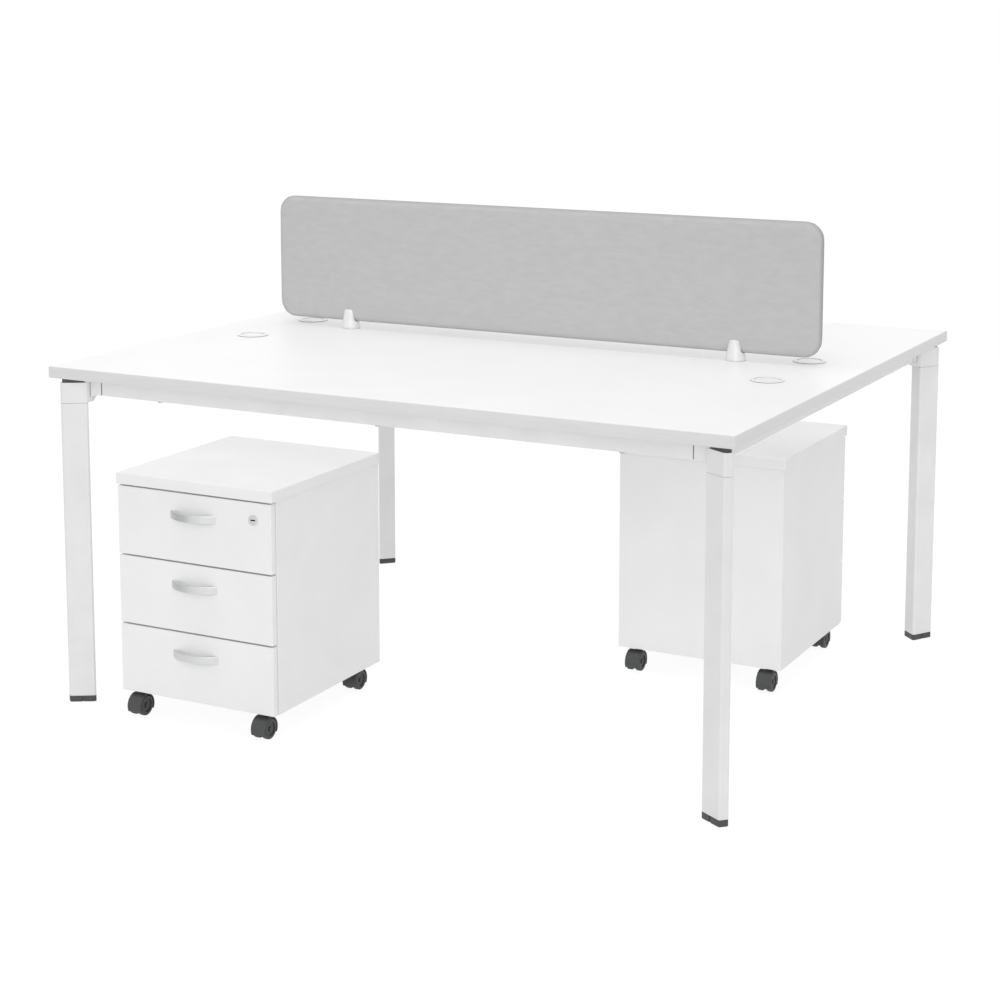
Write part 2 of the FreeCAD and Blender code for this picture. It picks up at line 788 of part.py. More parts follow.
def write_pedestal(name, centre_x, centre_y, turn, trail_side):
    """Writes every node of one pedestal, turned about its middle, its wheels before or behind their stems."""
    place = Placement(Vector(centre_x, centre_y, 0), Rotation(Vector(0, 0, 1), turn))

    def write(node, solids):
        placed = []
        for solid in solids:
            copy = solid.copy()
            copy.Placement = place.multiply(copy.Placement)
            placed.append(copy)
        write_node(name + "_" + node, placed)

    write("top", [pedestal_top()])
    write("carcase", pedestal_carcase())
    write("runners", runners())
    write("lock", lock())
    for index, drawer_name in enumerate(drawer_names):
        write("drawer_front_" + drawer_name, [drawer_front(index)])
        write("drawer_box_" + drawer_name, drawer_box(index))
        write("handle_" + drawer_name, [handle(index)])
    for corner_name, (x, y) in caster_places.items():
        fork = caster_fork(trail_side)
        fork.translate(Vector(x, y, 0))
        write("caster_fork_" + corner_name, [fork])
        wheels = caster_wheels(trail_side)
        for solid in wheels:
            solid.translate(Vector(x, y, 0))
        write("caster_wheels_" + corner_name, wheels)


pedestal_a_x = -(half_length - pedestal_a_from_end - half_width)
pedestal_a_y = -(half_depth - pedestal_a_from_edge - pedestal_depth / 2)
pedestal_b_x = half_length - pedestal_b_from_end - half_width
pedestal_b_y = half_depth - pedestal_b_from_edge - pedestal_depth / 2
write_pedestal("pedestal_a", pedestal_a_x, pedestal_a_y, 0, -1)
write_pedestal("pedestal_b", pedestal_b_x, pedestal_b_y, 180, 1)
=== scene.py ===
# A white bench desk for two people who sit face to face, with a fabric screen across its top and a
# three-drawer pedestal on casters under each working side. Lengths are in metres, patterns in millimetres.
import json
import math

import bmesh
import bpy
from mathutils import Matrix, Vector, noise


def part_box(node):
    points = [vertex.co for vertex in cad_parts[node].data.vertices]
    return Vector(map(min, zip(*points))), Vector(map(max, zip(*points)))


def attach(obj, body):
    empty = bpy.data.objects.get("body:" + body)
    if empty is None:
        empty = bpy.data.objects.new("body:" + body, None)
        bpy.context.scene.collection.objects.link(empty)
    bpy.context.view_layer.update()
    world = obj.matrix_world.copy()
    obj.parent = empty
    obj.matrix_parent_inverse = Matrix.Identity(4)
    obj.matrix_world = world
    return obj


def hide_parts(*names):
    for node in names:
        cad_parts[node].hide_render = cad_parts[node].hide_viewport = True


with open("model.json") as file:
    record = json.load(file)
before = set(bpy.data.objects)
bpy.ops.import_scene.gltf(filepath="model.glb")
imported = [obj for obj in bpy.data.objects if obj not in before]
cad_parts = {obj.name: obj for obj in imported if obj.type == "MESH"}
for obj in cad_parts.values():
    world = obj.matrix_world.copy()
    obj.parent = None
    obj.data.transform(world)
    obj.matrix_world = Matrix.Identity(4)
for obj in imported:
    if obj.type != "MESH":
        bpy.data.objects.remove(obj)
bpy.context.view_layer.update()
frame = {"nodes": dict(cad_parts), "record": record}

# Legs
# Each leg is a roll-formed steel tube that widens towards the desk's middle, powder coated white.
# It stands in a plastic foot, and a casting is pushed into its upper end. Painted shade darkens the paint
# where parts meet.
leg_edge_radius = 0.0015
sharp_angle = 35.0
flat_angle = 0.5
straight_angle = 179.0
merge_distance = 1e-6
rounding_share = 0.4
rounding_steps = 2
flat_face_weight = 100
ramp_stops = (0.3, 0.7)
powder_colours = ("#E4E4E4", "#EAEAEA")
powder_mottle_mm = 90.0
powder_peel_mm = 6.0
joint_shade_colour = "#8C8C8C"
joint_shade_reach = 0.003
# Painted shade: a point in a gap is darkest below the first share of open space round it, and clear above the
# second.
gap_openness = (0.5, 0.85)
corners = ("front_left", "front_right", "back_left", "back_right")
body_of_node = {
    node: body for body, nodes in frame["record"]["behaviour"]["bodies"].items() for node in nodes
}


def linear(hex_colour):
    """An sRGB hex colour as linear red, green, blue and alpha."""
    shares = [int(hex_colour[i : i + 2], 16) / 255 for i in (1, 3, 5)]
    return [s / 12.92 if s <= 0.04045 else ((s + 0.055) / 1.055) ** 2.4 for s in shares] + [1.0]


def add_node(tree, kind, inputs, **settings):
    """Adds a node with its settings. An input that is another node's socket is linked, any other is set."""
    node = tree.nodes.new(kind)
    for name, value in settings.items():
        setattr(node, name, value)
    for name, value in inputs.items():
        if isinstance(value, bpy.types.NodeSocket):
            tree.links.new(value, node.inputs[name])
        else:
            node.inputs[name].default_value = value
    return node


def start_material(name, **sockets):
    """A new material with its tree, its shader with set sockets, and the coordinates of the piece itself."""
    material = bpy.data.materials.new(name)
    material.use_nodes = True
    tree = material.node_tree
    shader = tree.nodes["Principled BSDF"]
    for socket, value in sockets.items():
        shader.inputs[socket.replace("_", " ")].default_value = value
    place = add_node(tree, "ShaderNodeTexCoord", {}).outputs["Object"]
    return material, tree, shader, place


def vary_colour(tree, shader, amount, colours):
    """Runs the shader's colour between two hex colours over the middle of an amount, and returns it."""
    ramp = add_node(tree, "ShaderNodeValToRGB", {"Fac": amount})
    for stop, position, colour in zip(ramp.color_ramp.elements, ramp_stops, colours):
        stop.position = position
        stop.color = linear(colour)
    tree.links.new(ramp.outputs["Color"], shader.inputs["Base Color"])
    return ramp.outputs["Color"]


def raise_surface(tree, shader, height, depth_mm, strength):
    """Bumps the shader by a height that runs from 0 to 1."""
    sockets = {"Height": height, "Distance": depth_mm / 1000, "Strength": strength}
    bump = add_node(tree, "ShaderNodeBump", sockets)
    tree.links.new(bump.outputs["Normal"], shader.inputs["Normal"])


def split_solids(node):
    """A node's mesh with its doubles merged and its solids parted, and the faces of each solid."""
    shape = bmesh.new()
    shape.from_mesh(frame["nodes"][node].data)
    bmesh.ops.remove_doubles(shape, verts=shape.verts, dist=merge_distance)
    unvisited = set(shape.faces)
    solids = []
    for start in list(shape.faces):
        if start not in unvisited:
            continue
        unvisited.remove(start)
        reached = [start]
        for face in reached:
            for edge in face.edges:
                if len(edge.link_faces) == 2:
                    beside = [f for f in edge.link_faces if f in unvisited]
                    unvisited.difference_update(beside)
                    reached.extend(beside)
        solids.append(reached)
    parted = solids[:1]
    for faces in solids[1:]:
        cut_off = bmesh.ops.split(shape, geom=faces)["geom"]
        parted.append([part for part in cut_off if isinstance(part, bmesh.types.BMFace)])
    return shape, parted


def new_object(name, data):
    """A new object of a mesh, lamp or camera, in the scene."""
    made = bpy.data.objects.new(name, data)
    bpy.context.scene.collection.objects.link(made)
    return made


def seat_piece(piece, node, finish):
    """Gives a piece its finish and lets it stand for a node, on that node's body."""
    piece.data.materials.clear()
    piece.data.materials.append(finish)
    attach(piece, body_of_node[node])
    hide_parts(node)


def room_beside(edge):
    """How far the narrower of an edge's two faces reaches from the edge."""
    start, end = (vertex.co for vertex in edge.verts)
    way = (end - start).normalized()
    reaches = []
    for face in edge.link_faces:
        offsets = [vertex.co - start for vertex in face.verts]
        reaches.append(max((offset - way * offset.dot(way)).length for offset in offsets))
    return min(reaches)


def rims_hole(edge):
    """Whether a face beside an edge bends round a hole at one of the edge's ends."""
    ends = [end for loop in edge.link_loops for end in (loop, loop.link_loop_next)]
    return any(not end.is_convex and end.calc_angle() < math.radians(straight_angle) for end in ends)


def softened(node, finish, radius=0.0, sharp_holes=False):
    """A copy of a node that stands for it, with smooth bends, and outer edges rounded to a radius, if any."""
    shape, _ = split_solids(node)
    bmesh.ops.dissolve_limit(
        shape, angle_limit=math.radians(flat_angle), verts=shape.verts, edges=shape.edges
    )
    for face in shape.faces:
        face.smooth = True
    rounded = shape.edges.layers.float.new("bevel_weight_edge")
    for edge in shape.edges:
        if edge.calc_face_angle(0.0) > math.radians(sharp_angle):
            edge.smooth = radius > 0 and edge.is_convex and not (sharp_holes and rims_hole(edge))
            if edge.smooth:
                edge[rounded] = min(rounding_share * room_beside(edge) / radius, 1.0)
    mesh = bpy.data.meshes.new(node + "_finished")
    shape.to_mesh(mesh)
    shape.free()
    piece = new_object(node + "_finished", mesh)
    if radius > 0:
        rounding = piece.modifiers.new("rounded_edges", "BEVEL")
        rounding.width = radius
        rounding.segments = rounding_steps
        rounding.limit_method = "WEIGHT"
        rounding.use_clamp_overlap = False
    flattening = piece.modifiers.new("flat_faces", "WEIGHTED_NORMAL")
    flattening.weight = flat_face_weight
    flattening.keep_sharp = True
    seat_piece(piece, node, finish)


def paint_gap_shade(material, shade_colour, reach, only_local):
    """Paints shade into a material's colour, running it darker where its surface lies in a gap no wider than
    a reach.
    """
    tree = material.node_tree
    base = tree.nodes["Principled BSDF"].inputs["Base Color"]
    openness = add_node(tree, "ShaderNodeAmbientOcclusion", {"Distance": reach}, only_local=only_local)
    shut, wide_open = gap_openness
    light_sockets = {"Value": openness.outputs["AO"], "From Min": shut, "From Max": wide_open}
    light = add_node(tree, "ShaderNodeMapRange", light_sockets)
    plain = base.links[0].from_socket
    shaded_sockets = {"Factor": light.outputs["Result"], "A": linear(shade_colour), "B": plain}
    shaded = add_node(tree, "ShaderNodeMix", shaded_sockets, data_type="RGBA")
    tree.links.new(shaded.outputs["Result"], base)


def powder_coat():
    """Powder coat: baked paint with a soft shine and an orange peel, drawn coarse so that it shows."""
    material, tree, shader, place = start_material("white_powder_coat", Roughness=0.4, Coat_Weight=0.1)
    mottle_sockets = {"Vector": place, "Scale": 1000 / powder_mottle_mm, "Detail": 3.0}
    mottle = add_node(tree, "ShaderNodeTexNoise", mottle_sockets)
    vary_colour(tree, shader, mottle.outputs["Fac"], powder_colours)
    peel_sockets = {"Vector": place, "Scale": 1000 / powder_peel_mm, "Detail": 1.0}
    peel = add_node(tree, "ShaderNodeTexNoise", peel_sockets)
    raise_surface(tree, shader, peel.outputs["Fac"], depth_mm=0.12, strength=0.3)
    return material


frame_paint = powder_coat()
# Painted shade: the frame's paint runs darker where it meets or comes close to other pieces.
paint_gap_shade(frame_paint, joint_shade_colour, joint_shade_reach, only_local=False)
for corner in corners:
    softened("leg_" + corner, frame_paint, leg_edge_radius, sharp_holes=True)

# Leg feet and the pads under the desktop
# Dark grey polyamide, injection moulded with a fine spark-eroded grain. The feet plug into the legs' lower
# ends, and the pads keep the heads of the legs off the board.
foot_edge_radius = 0.0012
pad_edge_radius = 0.0004
moulded_dark_colours = ("#3F4041", "#484949")
moulded_grain_mm = 2.5


def moulded_plastic(name, colours, roughness):
    """Moulded plastic: dull, with a pebbled grain, drawn coarse so that it shows."""
    material, tree, shader, place = start_material(name, Roughness=roughness)
    grain_sockets = {"Vector": place, "Scale": 1000 / moulded_grain_mm, "Detail": 2.0}
    grain = add_node(tree, "ShaderNodeTexNoise", grain_sockets)
    vary_colour(tree, shader, grain.outputs["Fac"], colours)
    raise_surface(tree, shader, grain.outputs["Fac"], depth_mm=0.1, strength=0.35)
    return material


dark_plastic = moulded_plastic("dark_polyamide", moulded_dark_colours, 0.52)
softened("leg_feet", dark_plastic, foot_edge_radius)
softened("desktop_pads", dark_plastic, pad_edge_radius)

# Leg heads
# Aluminium die castings in the same white powder coat. Each is pushed into a leg and has an arm towards
# each of its two rails, with a hollow-curved web below.
softened("leg_heads", frame_paint)

# Rails
# Rectangular steel tubes, cut to length, drilled and powder coated white. They are pushed over the arms of
# the leg heads and bolted there.
rail_edge_radius = 0.0008
softened("frame_rails", frame_paint, rail_edge_radius, sharp_holes=True)

# Frame fasteners
# Zinc-plated steel screws with flat round heads and hexagon sockets: two at each corner through the rails
# into the arms, the others up through the rails and the board.
touch_distance = 1e-5
screw_head_height = 0.003
screw_socket_width = 0.005
screw_head_sides = 32
screw_shank_sides = 16
hexagon_sides = 6
zinc_colours = ("#A9ABAE", "#B9BBBE")
zinc_spangle_mm = 4.0


def zinc_plate():
    """Zinc plate: a bright grey metal whose crystals give slightly different greys."""
    material, tree, shader, place = start_material("zinc_plated_steel", Roughness=0.32, Metallic=1.0)
    spangle = add_node(tree, "ShaderNodeTexVoronoi", {"Vector": place, "Scale": 1000 / zinc_spangle_mm})
    vary_colour(tree, shader, spangle.outputs["Distance"], zinc_colours)
    return material


def screw_tree(finish):
    """A node tree that sets a socket screw at each point, along the point's own direction and length."""
    tree = bpy.data.node_groups.new("socket_screws", "GeometryNodeTree")
    tree.interface.new_socket("Seats", in_out="INPUT", socket_type="NodeSocketGeometry")
    for size in ("Head Diameter", "Head Height", "Shank Diameter", "Socket Width"):
        tree.interface.new_socket(size, in_out="INPUT", socket_type="NodeSocketFloat")
    tree.interface.new_socket("Screws", in_out="OUTPUT", socket_type="NodeSocketGeometry")
    sizes = add_node(tree, "NodeGroupInput", {}).outputs
    half_head = add_node(tree, "ShaderNodeMath", {0: sizes["Head Diameter"], 1: 0.5}, operation="MULTIPLY")
    half_shank = add_node(tree, "ShaderNodeMath", {0: sizes["Shank Diameter"], 1: 0.5}, operation="MULTIPLY")
    socket_radius = add_node(
        tree, "ShaderNodeMath", {0: sizes["Socket Width"], 1: 1 / math.sqrt(3)}, operation="MULTIPLY"
    )
    head_middle = add_node(tree, "ShaderNodeMath", {0: sizes["Head Height"], 1: -0.5}, operation="MULTIPLY")
    head_face = add_node(tree, "ShaderNodeMath", {0: sizes["Head Height"], 1: -1.0}, operation="MULTIPLY")
    head_round = add_node(
        tree,
        "GeometryNodeMeshCylinder",
        {"Vertices": screw_head_sides, "Radius": half_head.outputs[0], "Depth": sizes["Head Height"]},
    )
    head_place = add_node(tree, "ShaderNodeCombineXYZ", {"Z": head_middle.outputs[0]})
    head = add_node(
        tree,
        "GeometryNodeTransform",
        {"Geometry": head_round.outputs["Mesh"], "Translation": head_place.outputs[0]},
    )
    hexagon = add_node(
        tree,
        "GeometryNodeMeshCylinder",
        {"Vertices": hexagon_sides, "Radius": socket_radius.outputs[0], "Depth": sizes["Head Height"]},
    )
    hexagon_place = add_node(tree, "ShaderNodeCombineXYZ", {"Z": head_face.outputs[0]})
    recess = add_node(
        tree,
        "GeometryNodeTransform",
        {"Geometry": hexagon.outputs["Mesh"], "Translation": hexagon_place.outputs[0]},
    )
    socket_head = add_node(
        tree,
        "GeometryNodeMeshBoolean",
        {"Mesh 1": head.outputs["Geometry"], "Mesh 2": recess.outputs["Geometry"]},
        operation="DIFFERENCE",
    )
    unit_shank = add_node(
        tree,
        "GeometryNodeMeshCylinder",
        {"Vertices": screw_shank_sides, "Radius": half_shank.outputs[0], "Depth": 1.0},
    )
    shank = add_node(
        tree,
        "GeometryNodeTransform",
        {"Geometry": unit_shank.outputs["Mesh"], "Translation": (0.0, 0.0, 0.5)},
    )
    inward = add_node(
        tree, "GeometryNodeInputNamedAttribute", {"Name": "inward"}, data_type="FLOAT_VECTOR"
    )
    grip = add_node(tree, "GeometryNodeInputNamedAttribute", {"Name": "grip"}, data_type="FLOAT")
    turn = add_node(
        tree, "FunctionNodeAlignRotationToVector", {"Vector": inward.outputs["Attribute"]}, axis="Z"
    )
    stretch = add_node(
        tree, "ShaderNodeCombineXYZ", {"X": 1.0, "Y": 1.0, "Z": grip.outputs["Attribute"]}
    )
    placed = add_node(tree, "GeometryNodeJoinGeometry", {})
    parts = ((socket_head.outputs["Mesh"], (1.0, 1.0, 1.0)), (shank.outputs["Geometry"], stretch.outputs[0]))
    for part, scale in parts:
        on_points = add_node(
            tree,
            "GeometryNodeInstanceOnPoints",
            {
                "Points": sizes["Seats"],
                "Instance": part,
                "Rotation": turn.outputs["Rotation"],
                "Scale": scale,
            },
        )
        tree.links.new(on_points.outputs["Instances"], placed.inputs["Geometry"])
    real = add_node(tree, "GeometryNodeRealizeInstances", {"Geometry": placed.outputs["Geometry"]})
    done = add_node(
        tree, "GeometryNodeSetMaterial", {"Geometry": real.outputs["Geometry"], "Material": finish}
    )
    add_node(tree, "NodeGroupOutput", {"Screws": done.outputs["Geometry"]})
    return tree


def seats_of_screws():
    """Where each screw's head meets its seat, the direction in, and how far the shank goes."""
    shape, solids = split_solids("frame_fasteners")
    seats = []
    for faces in solids:
        points = [v.co.copy() for v in {v for f in faces for v in f.verts}]
        low = Vector([min(p[i] for p in points) for i in range(3)])
        high = Vector([max(p[i] for p in points) for i in range(3)])
        spans = high - low
        along = max(range(3), key=lambda i: spans[i])
        across = (along + 1) % 3
        head_width = spans[across]
        wide_points = [p for p in points if abs(p[across] - low[across]) < touch_distance]
        head_is_low = wide_points[0][along] < (low[along] + high[along]) / 2
        inward = Vector((0, 0, 0))
        inward[along] = 1.0 if head_is_low else -1.0
        seat = (low + high) / 2
        seat[along] = low[along] + screw_head_height if head_is_low else high[along] - screw_head_height
        seats.append((seat, inward, spans[along] - screw_head_height, head_width))
    shape.free()
    return seats


def screws():
    """The frame's screws as one plain mesh."""
    seats = seats_of_screws()
    mesh = bpy.data.meshes.new("frame_screws")
    mesh.from_pydata([seat for seat, _, _, _ in seats], [], [])
    mesh.attributes.new("inward", "FLOAT_VECTOR", "POINT")
    mesh.attributes.new("grip", "FLOAT", "POINT")
    for i, (_, inward, grip, _) in enumerate(seats):
        mesh.attributes["inward"].data[i].vector = inward
        mesh.attributes["grip"].data[i].value = grip
    piece = new_object("frame_screws", mesh)
    finish = zinc_plate()
    tree = screw_tree(finish)
    modifier = piece.modifiers.new("screws", "NODES")
    modifier.node_group = tree
    head_width = seats[0][3]
    sizes = {
        "Head Diameter": head_width,
        "Head Height": screw_head_height,
        "Shank Diameter": head_width / 2,
        "Socket Width": screw_socket_width,
    }
    for socket in tree.interface.items_tree:
        if socket.name in sizes:
            modifier[socket.identifier] = sizes[socket.name]
    depsgraph = bpy.context.evaluated_depsgraph_get()
    made = bpy.data.meshes.new_from_object(piece.evaluated_get(depsgraph))
    piece.modifiers.clear()
    piece.data = made
    seat_piece(piece, "frame_fasteners", finish)


screws()

# Desktop
# A particle board faced with white melamine, with a fine pearl texture pressed into its faces. Screws
# through the rails hold it, and four holes take the cable grommets.
melamine_colours = ("#F6F6F6", "#F9F9F9")
melamine_pearl_mm = 3.5
melamine_cloud_mm = 140.0


def melamine(name, colours):
    """Melamine: resin-hard and satin, with a pearl texture, drawn coarse so that it shows."""
    material, tree, shader, place = start_material(name, Roughness=0.42)
    cloud_sockets = {"Vector": place, "Scale": 1000 / melamine_cloud_mm, "Detail": 3.0}
    cloud = add_node(tree, "ShaderNodeTexNoise", cloud_sockets)
    vary_colour(tree, shader, cloud.outputs["Fac"], colours)
    pearl_sockets = {"Vector": place, "Scale": 1000 / melamine_pearl_mm, "Detail": 2.0}
    pearl = add_node(tree, "ShaderNodeTexNoise", pearl_sockets)
    raise_surface(tree, shader, pearl.outputs["Fac"], depth_mm=0.06, strength=0.25)
    return material


white_board = melamine("white_melamine", melamine_colours)
desktop = frame["nodes"]["desktop"]
desktop.data.materials.clear()
desktop.data.materials.append(white_board)

# Edging of the desktop
# A strip of white ABS, 2 mm thick, glued round the board. Its long edges and the corners of the desk are
# milled round.
edging_round = 0.0014
edging_arc_steps = 4
edging_colours = ("#DBDBDB", "#E0E0E0")
edging_streak_mm = 5.0
edging_stretch = (0.05, 0.05, 1.0)


def edging_plastic():
    """ABS edging: extruded and then scraped, so that fine streaks run along it."""
    material, tree, shader, place = start_material("white_abs_edging", Roughness=0.36)
    stretched = add_node(tree, "ShaderNodeMapping", {"Vector": place, "Scale": edging_stretch})
    streak_sockets = {"Vector": stretched.outputs[0], "Scale": 1000 / edging_streak_mm, "Detail": 2.0}
    streak = add_node(tree, "ShaderNodeTexNoise", streak_sockets)
    vary_colour(tree, shader, streak.outputs["Fac"], edging_colours)
    raise_surface(tree, shader, streak.outputs["Fac"], depth_mm=0.05, strength=0.25)
    return material


def edging_profile(low, high, out):
    """The strip's section as distances out of the board and heights, with its outer edges rounded."""
    points = [(0.0, low)]
    for middle, first_angle in ((low + edging_round, -90.0), (high - edging_round, 0.0)):
        for step in range(edging_arc_steps + 1):
            angle = math.radians(first_angle + 90.0 * step / edging_arc_steps)
            reach = out - edging_round + edging_round * math.cos(angle)
            points.append((reach, middle + edging_round * math.sin(angle)))
    points.append((0.0, high))
    return points


def edging():
    """One closed strip round the board, swept along the board's own outline."""
    _, board_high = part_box("desktop")
    band_low, band_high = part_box("desktop_edge_band")
    profile = edging_profile(band_low.z, band_high.z, band_high.x - board_high.x)
    turns = []
    for side_x, side_y, first_angle in ((1, 1, 0.0), (-1, 1, 90.0), (-1, -1, 180.0), (1, -1, 270.0)):
        corner = Vector((board_high.x * side_x, board_high.y * side_y, 0))
        for step in range(edging_arc_steps + 1):
            angle = math.radians(first_angle + 90.0 * step / edging_arc_steps)
            turns.append((corner, Vector((math.cos(angle), math.sin(angle), 0))))
    points = [corner + way * out + Vector((0, 0, z)) for corner, way in turns for out, z in profile]
    count = len(profile)
    faces = []
    for turn in range(len(turns)):
        here = turn * count
        ahead = (turn + 1) % len(turns) * count
        for step in range(count):
            after = (step + 1) % count
            faces.append((here + step, ahead + step, ahead + after, here + after))
    mesh = bpy.data.meshes.new("desktop_edging")
    mesh.from_pydata(points, [], faces)
    shape = bmesh.new()
    shape.from_mesh(mesh)
    bmesh.ops.remove_doubles(shape, verts=shape.verts, dist=merge_distance)
    bmesh.ops.recalc_face_normals(shape, faces=shape.faces)
    for face in shape.faces:
        face.smooth = True
    shape.to_mesh(mesh)
    shape.free()
    mesh.set_sharp_from_angle(angle=math.radians(sharp_angle))
    piece = new_object("desktop_edging", mesh)
    seat_piece(piece, "desktop_edge_band", edging_plastic())


edging()

# Cable grommets
# White ABS mouldings. A flanged sleeve is pressed into each hole of the board, and a cap with a cable slot
# turns in it. Painted shade darkens the plastic in the gaps between them and round the flange.
flange_edge_radius = 0.0009
cap_edge_radius = 0.0006
moulded_white_colours = ("#F0F0F0", "#F4F4F4")
grommet_shade_colour = "#747474"
grommet_shade_reach = 0.004
white_plastic = moulded_plastic("white_abs", moulded_white_colours, 0.38)
# Painted shade: the white plastic runs darker in the gaps round the caps and where the flange meets the
# board.
paint_gap_shade(white_plastic, grommet_shade_colour, grommet_shade_reach, only_local=False)
softened("grommet_sleeves", white_plastic, flange_edge_radius)
for corner in corners:
    softened("grommet_cap_" + corner, white_plastic, cap_edge_radius)

# Screen feet
# Milky polycarbonate clamps. Each stands on the desktop over a screw and holds the panel's lower edge
# between two cheeks.
milky_colours = ("#F6F7F7", "#FCFCFC")
milky_cloud_mm = 12.0
milky_depth = 0.008
milky_depth_by_colour = (1.0, 1.0, 1.0)


def milky_plastic():
    """Milky polycarbonate: glossy, and light passes some way into it."""
    material, tree, shader, place = start_material(
        "milky_polycarbonate", Roughness=0.18, IOR=1.58, Transmission_Weight=0.15, Subsurface_Weight=0.4
    )
    shader.inputs["Subsurface Scale"].default_value = milky_depth
    shader.inputs["Subsurface Radius"].default_value = milky_depth_by_colour
    cloud_sockets = {"Vector": place, "Scale": 1000 / milky_cloud_mm, "Detail": 2.0}
    cloud = add_node(tree, "ShaderNodeTexNoise", cloud_sockets)
    vary_colour(tree, shader, cloud.outputs["Fac"], milky_colours)
    return material


softened("screen_feet", milky_plastic())

# Screen panel
# A board padded with thin foam and covered in grey woven polyester, pulled tight round its edges. Its lower
# edge sits in the two clamps.
panel_corner_radius = 0.042
panel_voxel = 0.0065
panel_smoothing = 0.5
panel_smoothing_rounds = 3
panel_crown_reach = 0.055
panel_edge_share = 0.86
panel_pucker = 0.0005
panel_pucker_length = 0.045
panel_pucker_reach = 0.03
panel_pucker_spread = 3
panel_rim_shade_width = 0.007
fabric_colours = ("#BCBCBC", "#C2C2C2")
rim_shade_colour = "#A3A3A3"
thread_mm = 1.8
thread_waver = 0.4
slub_mm = 9.0
slub_stretch = (0.3, 1.0, 1.0)
# A wave texture of scale 1 repeats after this length.
wave_of_scale_one = 2 * math.pi / 20


def woven_fabric():
    """Woven polyester: matt, with warp, weft and slubs, and painted shade that darkens it round the rim."""
    material, tree, shader, place = start_material("grey_woven_polyester", Roughness=0.85)
    slub_place = add_node(tree, "ShaderNodeMapping", {"Vector": place, "Scale": slub_stretch})
    slub_sockets = {"Vector": slub_place.outputs[0], "Scale": 1000 / slub_mm, "Detail": 4.0}
    slub = add_node(tree, "ShaderNodeTexNoise", slub_sockets)
    cloth = vary_colour(tree, shader, slub.outputs["Fac"], fabric_colours)
    # Painted shade: the cloth runs to a darker grey round the rim, where the rim attribute marks it.
    rim = add_node(tree, "ShaderNodeAttribute", {}, attribute_name="rim")
    rim_shaded_sockets = {"Factor": rim.outputs["Fac"], "A": cloth, "B": linear(rim_shade_colour)}
    rim_shaded = add_node(tree, "ShaderNodeMix", rim_shaded_sockets, data_type="RGBA")
    tree.links.new(rim_shaded.outputs["Result"], shader.inputs["Base Color"])
    thread_scale = wave_of_scale_one * 1000 / thread_mm
    thread_sockets = {"Vector": place, "Scale": thread_scale, "Distortion": thread_waver}
    warp = add_node(tree, "ShaderNodeTexWave", thread_sockets, bands_direction="X")
    weft = add_node(tree, "ShaderNodeTexWave", thread_sockets, bands_direction="Z")
    both_threads = {0: warp.outputs["Fac"], 1: weft.outputs["Fac"]}
    weave = add_node(tree, "ShaderNodeMath", both_threads, operation="MAXIMUM")
    raise_surface(tree, shader, weave.outputs[0], depth_mm=0.35, strength=0.5)
    return material


def inside_distance(x, z, half_x, half_z, radius):
    """How far a point of the panel's face lies inside the panel's rounded outline."""
    out_x = max(abs(x) - half_x + radius, 0.0)
    out_z = max(abs(z) - half_z + radius, 0.0)
    nearer = min(max(half_x - abs(x), 0.0), max(half_z - abs(z), 0.0))
    return radius - math.hypot(out_x, out_z) if out_x > 0 and out_z > 0 else nearer


def padded_panel():
    """The panel with faces that swell from the rim inwards, and puckers where the cloth is pulled round."""
    panel_low, panel_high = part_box("screen_panel")
    middle = (panel_low + panel_high) / 2
    half = (panel_high - panel_low) / 2
    shape, _ = split_solids("screen_panel")
    mesh = bpy.data.meshes.new("screen_padding")
    shape.to_mesh(mesh)
    shape.free()
    piece = new_object("screen_padding", mesh)
    remesh = piece.modifiers.new("even_mesh", "REMESH")
    remesh.mode = "VOXEL"
    remesh.voxel_size = panel_voxel
    smooth = piece.modifiers.new("even_faces", "SMOOTH")
    smooth.factor = panel_smoothing
    smooth.iterations = panel_smoothing_rounds
    depsgraph = bpy.context.evaluated_depsgraph_get()
    piece.data = bpy.data.meshes.new_from_object(piece.evaluated_get(depsgraph))
    piece.modifiers.clear()
    # The rim attribute marks the band round the edge that gets painted shade, fading inwards over its width.
    rim = piece.data.attributes.new("rim", "FLOAT", "POINT")
    for vertex, rim_shade in zip(piece.data.vertices, rim.data):
        away = vertex.co - middle
        depth = max(inside_distance(away.x, away.z, half.x, half.z, panel_corner_radius), 0.0)
        rise = 1 - (1 - min(depth / panel_crown_reach, 1.0)) ** 3
        fade = max(1 - depth / panel_pucker_reach, 0.0)
        side = 1 if away.y > 0 else -1
        pucker_place = Vector((away.x, side * panel_pucker_spread * half.y, away.z))
        pucker = noise.noise(pucker_place / panel_pucker_length)
        away.y *= panel_edge_share + (1 - panel_edge_share) * rise
        away.y += side * panel_pucker * fade * pucker
        vertex.co = middle + away
        rim_shade.value = max(1 - depth / panel_rim_shade_width, 0.0)
    piece.data.shade_smooth()
    finer = piece.modifiers.new("finer_mesh", "SUBSURF")
    finer.levels = 1
    finer.render_levels = 1
    seat_piece(piece, "screen_panel", woven_fabric())


padded_panel()

# Pedestal carcases and tops
# Melamine-faced boards, glued and dowelled: two sides, a back and a base, with a thicker top that stands a
# little over them. The runners and the lock's keeper are screwed inside.
carcase_edge_radius = 0.0005
top_edge_radius = 0.001
runner_edge_radius = 0.0005
pedestal_colours = ("#EFEFEF", "#F3F3F3")
pedestals = ("pedestal_a", "pedestal_b")
pedestal_board = melamine("pedestal_melamine", pedestal_colours)
zinc_runner = zinc_plate()
for pedestal in pedestals:
    softened(pedestal + "_carcase", pedestal_board, carcase_edge_radius)
    softened(pedestal + "_top", pedestal_board, top_edge_radius)
    softened(pedestal + "_runners", zinc_runner, runner_edge_radius)

